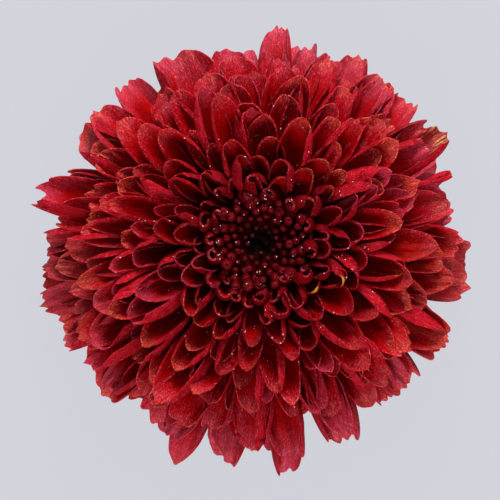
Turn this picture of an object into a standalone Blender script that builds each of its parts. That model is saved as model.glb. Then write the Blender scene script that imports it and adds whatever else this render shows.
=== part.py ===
"""A cut pompon chrysanthemum head: ray florets and disc florets on their receptacle, the bracts
under them, and the short stub of stem that the head was picked with. It lies face up, on the cut
end of the stem and on the tips of its lowest ray florets. Metres, +Z up."""

import math

import bmesh
import bpy
from mathutils import Vector

MM = 0.001
GAP = 0.3
TURN = 360.0

# Driving dimensions, in millimetres and degrees
HEAD_RADIUS = 30.0
CROWN_HEIGHT = 23.5
RIM_HEIGHT = 3.0
CENTRE_DIP = 2.5
AXIS_SHIFT = Vector((1.1, 1.0, 0.0))
GOLDEN_ANGLE = 137.508

# The outline grew longer to one side, by this much towards this azimuth. At each accent, an azimuth
# and a length, one floret stands out past its neighbours.
OUTLINE_LEAN = 1.0
OUTLINE_LEAN_AZIMUTH = 60.0
RIM_ACCENTS = ((24, 0.8), (163, 1.7), (189, 1.0), (248, 2.0), (277, 2.2), (297, 1.0))
ACCENT_HALF_ANGLE = 7.0

DISC_COUNT = 50
DISC_INNER_RADIUS = 1.4
DISC_RADIUS = 5.6
DISC_SIDES = 5
DISC_BED_RADIUS = 6.4
DISC_BED_FLOOR = 12.9
DISC_BED_TOP = 13.9
DISC_INNER_TOP = 15.4
DISC_OUTER_TOP = 18.6
DISC_INNER_HEAD = 0.68
DISC_OUTER_HEAD = 0.88
DISC_LEAN = 0.8

RAY_COUNT = 216
RAY_TIP_START = 7.5
RAY_RESTING_COUNT = 5
RAY_RESTING_REACH = 28.5
RAY_RESTING_HEIGHT = 0.5
RAY_RESTING_EXTRA_TURN = 24
RAY_THICKNESS = 0.7
RAY_CLAW = 0.3
RAY_TOOTH_NOTCH = 0.09
RAY_SINK = 1.3

# Each range runs from the innermost ray floret to the outermost
RAY_WIDTH = (1.3, 5.0)
RAY_TURN = (34, -48)
RAY_CUP = (0.48, 0.12)
RAY_HOOD = (0.5, 0.05)
RAY_ROOT_RADIUS = (7.0, 10.0)
RAY_ROOT_HEIGHT = (13.0, 9.6)

# How far each thing varies from floret to floret, and the step of the sequence that scatters it
SCATTER = {
    "azimuth": (5.0, 0.7549),
    "reach": (1.2, 0.5698),
    "height": (2.0, 0.8192),
    "turn": (14.0, 0.6711),
    "width": (0.6, 0.8567),
    "twist": (26.0, 0.7339),
    "teeth": (1.0, 0.6298),
    "disc": (1.0, 0.7549),
}

CORE_RADIUS = 11.0
CORE_HALF_HEIGHT = 4.6
CORE_MIDDLE = 10.8
CORE_SEAT = 8.0

CUP_RADIUS = 8.7
CUP_TOP = CORE_SEAT - GAP
CUP_BASE = 3.7
CUP_NECK_RADIUS = 2.4
BRACT_COUNT = 21
BRACT_THICKNESS = 0.6

STEM_RADIUS = 2.0
STEM_TOP = CUP_BASE - GAP
STEM_RIBS = 6


def unit(azimuth):
    """The level direction at this azimuth, in degrees."""
    angle = math.radians(azimuth)
    return Vector((math.cos(angle), math.sin(angle), 0.0))


def scatter(what, index):
    """How far this floret is from the mean, which is the same each run."""
    size, step = SCATTER[what]
    return size * ((index * step) % 1.0 - 0.5)


def mix(low, high, share):
    return low + (high - low) * share


def outline_extra(azimuth):
    """How much further than the mean the outline reaches at this azimuth."""
    extra = OUTLINE_LEAN * math.cos(math.radians(azimuth - OUTLINE_LEAN_AZIMUTH))
    for accent, length in RIM_ACCENTS:
        away = abs((azimuth - accent + TURN / 2) % TURN - TURN / 2) / ACCENT_HALF_ANGLE
        extra += length * max(0.0, 1 - away**2)
    return extra


class Floret:
    """One ray floret: its spine is an arc from the receptacle to its tip, in an upright plane."""

    def __init__(self, index):
        age = index / (RAY_COUNT - 1)
        self.age = age
        azimuth = (index + DISC_COUNT) * GOLDEN_ANGLE % TURN + scatter("azimuth", index)
        out_way = unit(azimuth)
        self.turn = mix(*RAY_TURN, age**1.2) + scatter("turn", index)
        self.width = mix(*RAY_WIDTH, age**1.1) + age * scatter("width", index)
        self.cup = mix(*RAY_CUP, age**1.3)
        self.hood = mix(*RAY_HOOD, age)
        self.twist = age * scatter("twist", index)
        self.toothed = age > 0.55 and scatter("teeth", index) > -0.1

        reach = mix(RAY_TIP_START, HEAD_RADIUS, 1 - (1 - age**1.6) ** 1.5)
        reach += age * scatter("reach", index) + age**6 * outline_extra(azimuth)
        height = mix(CROWN_HEIGHT, RIM_HEIGHT, age**2.4) - CENTRE_DIP * (1 - age) ** 4
        height += scatter("height", index)
        if index >= RAY_COUNT - RAY_RESTING_COUNT:
            reach = RAY_RESTING_REACH + outline_extra(azimuth)
            height = RAY_RESTING_HEIGHT
            self.turn -= RAY_RESTING_EXTRA_TURN
        self.root = AXIS_SHIFT + out_way * mix(*RAY_ROOT_RADIUS, age**0.8)
        self.root.z = mix(*RAY_ROOT_HEIGHT, age**1.5)
        tip = AXIS_SHIFT * (1 - reach / HEAD_RADIUS) + out_way * reach
        tip.z = height
        chord = tip - self.root
        level = Vector((chord.x, chord.y, 0.0))
        self.outward = level.normalized() if level.length > 1 else out_way
        self.sideways = Vector((-self.outward.y, self.outward.x, 0.0))
        self.rise = math.degrees(math.atan2(chord.z, chord.dot(self.outward)))
        half = math.radians(self.turn / 2)
        self.length = chord.length * (half / math.sin(half) if half else 1.0)

    def spine(self, share):
        """The point this share of the way up the arc, and the blade's up direction there. The tip
        hoods over, most of all on the inner florets."""
        turn = math.radians(self.turn)
        start = math.radians(self.rise - self.turn / 2)
        angle = start + turn * share
        radius = self.length / turn
        out = (math.sin(angle) - math.sin(start)) * radius
        up = (math.cos(start) - math.cos(angle)) * radius
        point = self.root + self.outward * out + Vector((0, 0, up))
        normal = Vector((0, 0, math.cos(angle))) - self.outward * math.sin(angle)
        hooded = max(0.0, share - 0.7) / 0.3
        return point + normal * (self.hood * self.width * hooded**2), normal

    def half_width(self, share):
        """Half the blade's width: a narrow claw, full width past the middle, a blunt tip."""
        claw = mix(RAY_CLAW, 1.0, min(1.0, share / 0.7) ** 1.2)
        tip = math.sqrt(max(0.0, 1 - (max(0.0, share - 0.7) / 0.345) ** 2.4))
        return 0.5 * self.width * claw * tip

    def ring(self, share, notch=0.0):
        """The blade's section: one edge, the upper face's middle, the other edge, the keel.
        A notch draws the middle back from the edges, which leaves two teeth at the tip."""
        point, normal = self.spine(share)
        middle, middle_normal = self.spine(share - notch)
        lean = math.radians(self.twist * share)
        across = self.sideways * math.cos(lean) + normal * math.sin(lean)
        normal = normal * math.cos(lean) - self.sideways * math.sin(lean)
        half = self.half_width(share)
        lift = normal * (2 * half * self.cup)
        return [
            point + across * half + lift,
            middle + middle_normal * (RAY_THICKNESS / 2),
            point - across * half + lift,
            middle - middle_normal * (RAY_THICKNESS / 2),
        ]


def inside_core(point):
    level = Vector((point.x - AXIS_SHIFT.x, point.y - AXIS_SHIFT.y)).length / CORE_RADIUS
    upright = (point.z - CORE_MIDDLE) / CORE_HALF_HEIGHT
    return level**2 + upright**2 < 1


def ray_floret_rings(floret):
    """The sections of a ray floret, from just inside the receptacle out to its tip. The short ones
    round the centre take one section fewer."""
    sink = RAY_SINK / floret.length
    leaves = next(step / 40 for step in range(41) if not inside_core(floret.spine(step / 40)[0]))
    start = max(0.0, leaves - sink)
    shares = [start, 0.72, 0.9]
    if floret.age > 0.4:
        shares.insert(1, mix(start, 0.72, 0.5))
    rings = [floret.ring(share) for share in shares]
    rings.append(floret.ring(1.0, notch=RAY_TOOTH_NOTCH if floret.toothed else -RAY_TOOTH_NOTCH / 3))
    return rings


def rest_on_surface(rings):
    """Bends a floret so that its tip's lowest point just reaches the surface under the head."""
    drop = min(point.z for point in rings[-1])
    last = len(rings) - 1
    for step, ring in enumerate(rings):
        for point in ring:
            point.z -= drop * (step / last) ** 2
    return rings


def add_object(name, mesh, collection):
    obj = bpy.data.objects.new(name, mesh)
    collection.objects.link(obj)
    return obj


def loft(name, rings, collection):
    """A closed body through rings of points. Both sides of a blade are split into triangles alike,
    from its edges' lines, so that they don't cross."""
    shape = bmesh.new()
    rows = [[shape.verts.new(point * MM) for point in ring] for ring in rings]
    count = len(rows[0])
    for low, high in zip(rows, rows[1:]):
        for i in range(count):
            j = (i + 1) % count
            if i % 2 == 0:
                shape.faces.new((low[i], low[j], high[j]))
                shape.faces.new((low[i], high[j], high[i]))
            else:
                shape.faces.new((low[i], low[j], high[i]))
                shape.faces.new((low[j], high[j], high[i]))
    shape.faces.new(list(reversed(rows[0])))
    shape.faces.new(rows[-1])
    bmesh.ops.triangulate(shape, faces=[f for f in shape.faces if len(f.verts) > 3])
    mesh = bpy.data.meshes.new(name)
    shape.to_mesh(mesh)
    shape.free()
    return add_object(name, mesh, collection)


def turned(name, profile, steps, collection):
    """A solid of revolution about the flower's axis, from (radius, height) points, top to bottom."""
    mesh = bpy.data.meshes.new(name)
    points = [(radius * MM, 0.0, height * MM) for radius, height in profile]
    mesh.from_pydata(points, [(i, i + 1) for i in range(len(points) - 1)], [])
    obj = add_object(name, mesh, collection)
    obj.location = AXIS_SHIFT * MM
    screw = obj.modifiers.new("turn", "SCREW")
    screw.steps = steps
    screw.render_steps = steps
    screw.use_merge_vertices = True
    screw.merge_threshold = 0.00001
    return obj


def finish(name, core, repeats, material):
    """Joins the repeats to their core in one Boolean union, fills what the joint seals in, drops
    loose scraps, and gives the node its name and material."""
    join = core.modifiers.new("join", "BOOLEAN")
    join.operation = "UNION"
    join.operand_type = "COLLECTION"
    join.collection = repeats
    join.solver = "MANIFOLD"
    bpy.context.view_layer.update()
    graph = bpy.context.evaluated_depsgraph_get()
    mesh = bpy.data.meshes.new_from_object(core.evaluated_get(graph))
    mesh.transform(core.matrix_world)
    for extra in [*repeats.objects, core]:
        bpy.data.objects.remove(extra)
    bpy.data.collections.remove(repeats)
    keep_largest_shell(mesh)
    mesh.materials.clear()
    mesh.materials.append(material)
    mesh.shade_smooth()
    mesh.set_sharp_from_angle(angle=math.radians(50))
    return add_object(name, mesh, flower)


def keep_largest_shell(mesh):
    """Leaves only the outer skin, so a sealed hollow is filled and a loose scrap is dropped."""
    shape = bmesh.new()
    shape.from_mesh(mesh)
    bmesh.ops.triangulate(shape, faces=[f for f in shape.faces if len(f.verts) > 3])
    left = set(shape.faces)
    shells = []
    while left:
        shell = {left.pop()}
        to_visit = list(shell)
        while to_visit:
            face = to_visit.pop()
            for edge in face.edges:
                for other in edge.link_faces:
                    if other in left:
                        left.discard(other)
                        shell.add(other)
                        to_visit.append(other)
        shells.append(shell)
    largest = max(shells, key=len)
    others = [face for shell in shells if shell is not largest for face in shell]
    bmesh.ops.delete(shape, geom=others, context="FACES")
    shape.to_mesh(mesh)
    shape.free()


def plain_material(name, colour, roughness):
    """A Principled material of one colour."""
    material = bpy.data.materials.new(name)
    material.use_nodes = True
    shader = material.node_tree.nodes["Principled BSDF"]
    shader.inputs["Base Color"].default_value = (*colour, 1.0)
    shader.inputs["Roughness"].default_value = roughness
    shader.inputs["Metallic"].default_value = 0.0
    return material


def new_repeats(name):
    repeats = bpy.data.collections.new(name)
    scene.collection.children.link(repeats)
    return repeats


def core_profile():
    """The receptacle that bears the ray florets: a flattened ball, with a shallow bed on top for
    the disc florets and a flat seat below, where the bracts hold it."""
    bed_radius = DISC_BED_RADIUS + GAP
    bed_floor = DISC_BED_FLOOR - GAP
    rim_angle = math.acos(bed_radius / CORE_RADIUS)
    seat_angle = math.asin((CORE_SEAT - CORE_MIDDLE) / CORE_HALF_HEIGHT)
    points = [(0.0, bed_floor), (bed_radius, bed_floor)]
    for step in range(8):
        angle = mix(rim_angle, seat_angle, step / 7)
        radius = CORE_RADIUS * math.cos(angle)
        points.append((radius, CORE_MIDDLE + CORE_HALF_HEIGHT * math.sin(angle)))
    points.append((0.0, CORE_SEAT))
    return points


def make_ray_florets():
    """The ray florets, which are the petals: erect spoons round the centre, then wider and flatter
    row by row, down to the toothed ones that arch over towards the surface."""
    repeats = new_repeats("ray_repeats")
    for index in range(RAY_COUNT):
        rings = ray_floret_rings(Floret(index))
        if index >= RAY_COUNT - RAY_RESTING_COUNT:
            rings = rest_on_surface(rings)
        loft(f"ray_{index}", rings, repeats)
    core = turned("ray_core", core_profile(), 32, flower)
    finish("ray_florets", core, repeats, plain_material("ray_red", (0.36, 0.005, 0.012), 0.55))


def make_disc_florets():
    """The young florets of the centre, still closed: small round-headed pegs that lean outwards
    on a low cushion, and get shorter and smaller towards the middle."""
    repeats = new_repeats("disc_repeats")
    for index in range(DISC_COUNT):
        squared = mix(DISC_INNER_RADIUS**2, DISC_RADIUS**2, (index + 0.5) / DISC_COUNT)
        out = math.sqrt(squared)
        share = (out - DISC_INNER_RADIUS) / (DISC_RADIUS - DISC_INNER_RADIUS)
        out_way = unit(index * GOLDEN_ANGLE)
        sideways = Vector((-out_way.y, out_way.x, 0.0))
        head = mix(DISC_INNER_HEAD, DISC_OUTER_HEAD, share)
        foot = AXIS_SHIFT + out_way * (out - DISC_LEAN * share)
        foot.z = DISC_BED_FLOOR + 0.4
        top = AXIS_SHIFT + out_way * out
        top.z = mix(DISC_INNER_TOP, DISC_OUTER_TOP, share) + scatter("disc", index)
        rings = []
        for along, size in ((0.0, 0.6), (0.75, 1.0), (1.0, 0.45)):
            middle = foot.lerp(top, along)
            ring = []
            for side in range(DISC_SIDES):
                angle = math.radians(TURN * side / DISC_SIDES)
                turn = out_way * math.cos(angle) + sideways * math.sin(angle)
                ring.append(middle + turn * head * size)
            rings.append(ring)
        loft(f"disc_{index}", rings, repeats)
    cushion = [(0.0, DISC_BED_TOP), (3.0, DISC_BED_TOP - 0.1), (DISC_BED_RADIUS, DISC_BED_TOP - 0.4)]
    cushion += [(DISC_BED_RADIUS, DISC_BED_FLOOR), (0.0, DISC_BED_FLOOR)]
    core = turned("disc_core", cushion, 24, flower)
    finish("disc_florets", core, repeats, plain_material("disc_maroon", (0.12, 0.004, 0.008), 0.5))


def cup_height(out):
    """The outer face of the cup of bracts: low at the stem, rising to the seat of the head."""
    share = (out - CUP_NECK_RADIUS) / (CUP_RADIUS - CUP_NECK_RADIUS)
    return mix(CUP_BASE, CUP_TOP - 0.6, max(0.0, share) ** 2.0)


def make_bracts():
    """The green cup that closes the head below, and the narrow bracts that overlap round it and
    reach out under the claws of the lowest florets."""
    repeats = new_repeats("bract_repeats")
    for index in range(BRACT_COUNT):
        age = index / (BRACT_COUNT - 1)
        out_way = unit(index * GOLDEN_ANGLE)
        sideways = Vector((-out_way.y, out_way.x, 0.0))
        tip_out = mix(11.4, 7.6, age)
        rings = []
        for along, half in ((0.0, 0.9), (0.55, 1.3), (1.0, 0.35)):
            out = mix(tip_out - 4.4, tip_out, along)
            level = cup_height(min(out, CUP_RADIUS)) + 0.35 * max(0.0, out - CUP_RADIUS)
            middle = AXIS_SHIFT + out_way * out + Vector((0, 0, level))
            edge_lift = Vector((0, 0, 0.15))
            rings.append([
                middle + sideways * half + edge_lift,
                middle + Vector((0, 0, BRACT_THICKNESS / 2)),
                middle - sideways * half + edge_lift,
                middle - Vector((0, 0, BRACT_THICKNESS / 2)),
            ])
        loft(f"bract_{index}", rings, repeats)
    profile = [(0.0, CUP_TOP), (CUP_RADIUS, CUP_TOP)]
    for step in range(6):
        out = mix(CUP_RADIUS, CUP_NECK_RADIUS, step / 5)
        profile.append((out, cup_height(out)))
    profile.append((0.0, CUP_BASE))
    cup = turned("cup", profile, 32, flower)
    finish("bracts", cup, repeats, plain_material("bract_green", (0.13, 0.19, 0.05), 0.6))


def make_stem():
    """The stub of stem, cut square across, with the low ribs that run down it."""
    rings = []
    for height, swell in ((0.0, 1.0), (0.6 * STEM_TOP, 0.96), (STEM_TOP, 1.1)):
        ring = []
        for side in range(2 * STEM_RIBS):
            rib = 1.0 if side % 2 == 0 else 0.86
            out = STEM_RADIUS * swell * rib
            azimuth = TURN * side / (2 * STEM_RIBS)
            ring.append(AXIS_SHIFT + unit(azimuth) * out + Vector((0, 0, height)))
        rings.append(ring)
    stem = loft("stem", rings, flower)
    stem.data.materials.append(plain_material("stem_green", (0.16, 0.22, 0.06), 0.6))


for old in list(bpy.data.objects):
    bpy.data.objects.remove(old)
scene = bpy.context.scene
flower = bpy.data.collections.new("pompon_chrysanthemum")
scene.collection.children.link(flower)

make_stem()
make_bracts()
make_ray_florets()
make_disc_florets()
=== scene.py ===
import math

import bmesh
import bpy
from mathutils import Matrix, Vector


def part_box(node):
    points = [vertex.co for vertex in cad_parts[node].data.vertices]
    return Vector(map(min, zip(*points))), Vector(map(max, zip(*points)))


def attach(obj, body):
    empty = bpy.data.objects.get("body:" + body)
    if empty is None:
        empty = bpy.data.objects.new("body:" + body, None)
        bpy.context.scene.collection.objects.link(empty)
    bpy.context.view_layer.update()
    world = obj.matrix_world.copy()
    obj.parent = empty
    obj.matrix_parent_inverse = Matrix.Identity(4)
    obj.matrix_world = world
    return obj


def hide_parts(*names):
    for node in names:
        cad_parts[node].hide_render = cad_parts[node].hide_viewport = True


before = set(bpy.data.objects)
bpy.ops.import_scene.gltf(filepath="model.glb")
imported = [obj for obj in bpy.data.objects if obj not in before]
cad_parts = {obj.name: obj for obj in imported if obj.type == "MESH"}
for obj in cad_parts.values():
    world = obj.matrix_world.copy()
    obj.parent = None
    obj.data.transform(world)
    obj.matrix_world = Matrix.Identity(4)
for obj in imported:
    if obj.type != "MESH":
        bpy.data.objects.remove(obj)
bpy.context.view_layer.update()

# Stem
# The stub of the flower stalk that a picked head keeps: green, with low ribs that run down it, and
# cut square across, so that its end shows the pale pith inside a darker ring. Sizes are millimetres.
MM = 0.001
stem_low, stem_high = (Vector(corner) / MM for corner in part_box("stem"))
axis = (stem_low + stem_high) / 2
stem_radius = (stem_high.x - stem_low.x) / 2
STEM_RIBS = 6
STEM_SIDES = 72
STEM_RINGS = 14
RIB_DEPTH = 0.07
WAIST_DEPTH = 0.07
PITH_RADIUS, RING_RADIUS = 1.1, 1.5
CUT_DEPTH = 0.05
SHARP_ANGLE = math.radians(50)
STEM_DARK, STEM_PALE = (0.075, 0.11, 0.02), (0.21, 0.25, 0.075)
PITH_PALE, PITH_RING = (0.42, 0.44, 0.2), (0.2, 0.24, 0.07)


def plain_piece(name, mesh):
    """Puts a finished mesh in the scene as a piece that rides on the one body."""
    piece = bpy.data.objects.new(name, mesh)
    bpy.context.scene.collection.objects.link(piece)
    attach(piece, "root")
    return piece


def new_node(tree, kind, links=None, **settings):
    """A new node. Links give the value of its inputs by name: a socket, a number or an object."""
    node = tree.nodes.new(kind)
    for name, value in settings.items():
        setattr(node, name, value)
    for name, value in (links or {}).items():
        socket = next(s for s in node.inputs if s.name == name and s.enabled)
        if isinstance(value, Value):
            value = value.socket
        if isinstance(value, bpy.types.NodeSocket):
            tree.links.new(value, socket)
        else:
            socket.default_value = value
    return node


def shader_node(material, kind, links=None, **settings):
    return new_node(material.node_tree, kind, links, **settings)


def new_material(name, roughness, specular=0.5):
    """A Principled material, with the values that are the same all over set on its own sockets."""
    material = bpy.data.materials.new(name)
    material.use_nodes = True
    shader = material.node_tree.nodes["Principled BSDF"]
    shader.inputs["Roughness"].default_value = roughness
    shader.inputs["Specular IOR Level"].default_value = specular
    return material, shader


class Value:
    """A number that a node tree works out for each point. The usual signs make its Math nodes."""

    def __init__(self, tree, socket):
        self.tree = tree
        self.socket = socket

    def math(self, operation, *others):
        node = new_node(self.tree, "ShaderNodeMath", operation=operation)
        for socket, value in zip(node.inputs, (self, *others)):
            if isinstance(value, Value):
                self.tree.links.new(value.socket, socket)
            else:
                socket.default_value = value
        return Value(self.tree, node.outputs[0])

    def __add__(self, other):
        return self.math("ADD", other)

    def __sub__(self, other):
        return self.math("SUBTRACT", other)

    def __mul__(self, other):
        return self.math("MULTIPLY", other)

    def __truediv__(self, other):
        return self.math("DIVIDE", other)

    def __pow__(self, other):
        return self.math("POWER", other)

    def __radd__(self, other):
        return self.math("ADD", other)

    def __rsub__(self, other):
        node = new_node(self.tree, "ShaderNodeMath", operation="SUBTRACT")
        node.inputs[0].default_value = other
        self.tree.links.new(self.socket, node.inputs[1])
        return Value(self.tree, node.outputs[0])

    def sin(self):
        return self.math("SINE")

    def cos(self):
        return self.math("COSINE")

    def fraction(self):
        return self.math("FRACT")

    def least(self, other):
        return self.math("MINIMUM", other)

    def most(self, other):
        return self.math("MAXIMUM", other)

    def size(self):
        return self.math("ABSOLUTE")

    def over(self, other):
        return self.math("GREATER_THAN", other)

    def rise(self, low, high):
        """From 0 below low to 1 above high, smoothly."""
        links = {"Value": self, "From Min": low, "From Max": high}
        node = new_node(self.tree, "ShaderNodeMapRange", links, interpolation_type="SMOOTHSTEP")
        return Value(self.tree, node.outputs["Result"])

    def between(self, low, high):
        """Low where this is 0, high where it is 1."""
        return self * (high - low) + low


def paint(material, shader, colour):
    material.node_tree.links.new(colour, shader.inputs["Base Color"])


def colour_mix(material, low, high, share):
    """One colour where share is 0 and another where it is 1. Each is a colour or a socket."""
    ends = (end if isinstance(end, bpy.types.NodeSocket) else (*end, 1.0) for end in (low, high))
    links = dict(zip(("A", "B"), ends)) | {"Factor": share}
    node = shader_node(material, "ShaderNodeMix", links, data_type="RGBA")
    return next(socket for socket in node.outputs if socket.enabled)


def noise(material, vector, scale):
    """Cloudy noise from 0 to 1 over this vector."""
    links = {"Vector": vector, "Scale": scale, "Detail": 3.0, "Roughness": 0.55}
    node = shader_node(material, "ShaderNodeTexNoise", links)
    return Value(material.node_tree, node.outputs["Fac"])


def object_point(material):
    return shader_node(material, "ShaderNodeTexCoord").outputs["Object"]


def object_xyz(material):
    split = shader_node(material, "ShaderNodeSeparateXYZ", {"Vector": object_point(material)})
    return tuple(Value(material.node_tree, output) for output in split.outputs)


def from_axis(x, y):
    """How far this place is from the flower's axis, in metres."""
    return ((x - axis.x * MM) ** 2 + (y - axis.y * MM) ** 2) ** 0.5


def bump(material, shader, height, strength, distance):
    links = {"Strength": strength, "Distance": distance, "Height": height}
    node = shader_node(material, "ShaderNodeBump", links)
    material.node_tree.links.new(node.outputs["Normal"], shader.inputs["Normal"])


def on_axis(angle, out, height):
    """The place at this angle round the flower's axis, this far from it and this high."""
    return Vector((axis.x + out * math.cos(angle), axis.y + out * math.sin(angle), height)) * MM


def closed_mesh(name, rings, top, bottom, material):
    """A closed skin over rings of places, from the top one to the bottom one, and its two ends."""
    shape = bmesh.new()
    top, bottom = (shape.verts.new(end) for end in (top, bottom))
    rows = [[shape.verts.new(place) for place in ring] for ring in rings]
    sides = len(rows[0])
    for i in range(sides):
        j = (i + 1) % sides
        shape.faces.new((top, rows[0][i], rows[0][j]))
        for high, low in zip(rows, rows[1:]):
            shape.faces.new((high[i], low[i], low[j], high[j]))
        shape.faces.new((rows[-1][i], bottom, rows[-1][j]))
    mesh = bpy.data.meshes.new(name)
    shape.to_mesh(mesh)
    shape.free()
    mesh.materials.append(material)
    mesh.shade_smooth()
    mesh.set_sharp_from_angle(angle=SHARP_ANGLE)
    return mesh


def stem_mesh():
    tall = stem_high.z - stem_low.z
    angles = [2 * math.pi * side / STEM_SIDES for side in range(STEM_SIDES)]
    rings = []
    for step in reversed(range(STEM_RINGS)):
        height = tall * step / (STEM_RINGS - 1)
        waist = 1 - WAIST_DEPTH * (1 - (2 * height / tall - 1) ** 2)
        ribs = [1 - RIB_DEPTH * (1 - math.cos(STEM_RIBS * angle)) for angle in angles]
        rings.append([on_axis(a, stem_radius * waist * rib, height) for a, rib in zip(angles, ribs)])
    ends = [on_axis(0.0, 0.0, height) for height in (tall, 0.0)]
    return closed_mesh("stem_stub", rings, *ends, stem_material())


def stem_material():
    """Green skin with pale streaks along the ribs, and the cut end's pith within a darker ring."""
    material, shader = new_material("stem_skin", 0.55)
    x, y, z = object_xyz(material)
    links = {"Vector": object_point(material), "Scale": (1.0, 1.0, 0.12)}
    stretched = shader_node(material, "ShaderNodeMapping", links)
    streak = noise(material, stretched.outputs[0], 2600.0)
    skin = colour_mix(material, STEM_DARK, STEM_PALE, streak)
    ring = from_axis(x, y).rise(PITH_RADIUS * MM, RING_RADIUS * MM)
    pith = colour_mix(material, PITH_PALE, PITH_RING, ring)
    cut = z.rise(CUT_DEPTH * MM, CUT_DEPTH * 0.4 * MM)
    paint(material, shader, colour_mix(material, skin, pith, cut))
    bump(material, shader, streak, 0.35, 0.0002)
    return material


stem = plain_piece("stem_stub", stem_mesh())
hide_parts("stem")

# Bracts
# The involucre: a shallow green cup under the head with narrow leafy scales that overlap round it.
# Each scale is soft and slightly downy, with a thin papery brown margin. They grew from the cup.
cup_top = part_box("bracts")[1][2] / MM - 0.7
BRACT_COUNT = 34
BRACT_LENGTH = 5.2
BRACT_HALF_WIDTH = 1.35
BRACT_TIP_SLOPE = 0.32
CUP_RADIUS = 8.7
CUP_RIM_RADIUS = 8.5
CUP_NECK = 2.4
CUP_WALL_TOP = 7.1
CUP_NECK_HEIGHT = 3.7
CUP_FOOT = 3.6
CUP_SIDES = 48
CUP_STEPS = 12
GOLDEN_DEGREES = 137.508
GOLDEN_ANGLE = math.radians(GOLDEN_DEGREES)
BEARING_STEP = 0.7549
WELD = 0.002
BLADE_SHARP_ANGLE = math.radians(55)
BRACT_DARK, BRACT_PALE = (0.075, 0.115, 0.028), (0.19, 0.235, 0.085)
BRACT_MIDRIB = (0.28, 0.31, 0.14)
PAPER_DARK, PAPER_PALE = (0.17, 0.09, 0.035), (0.32, 0.2, 0.09)


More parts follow.
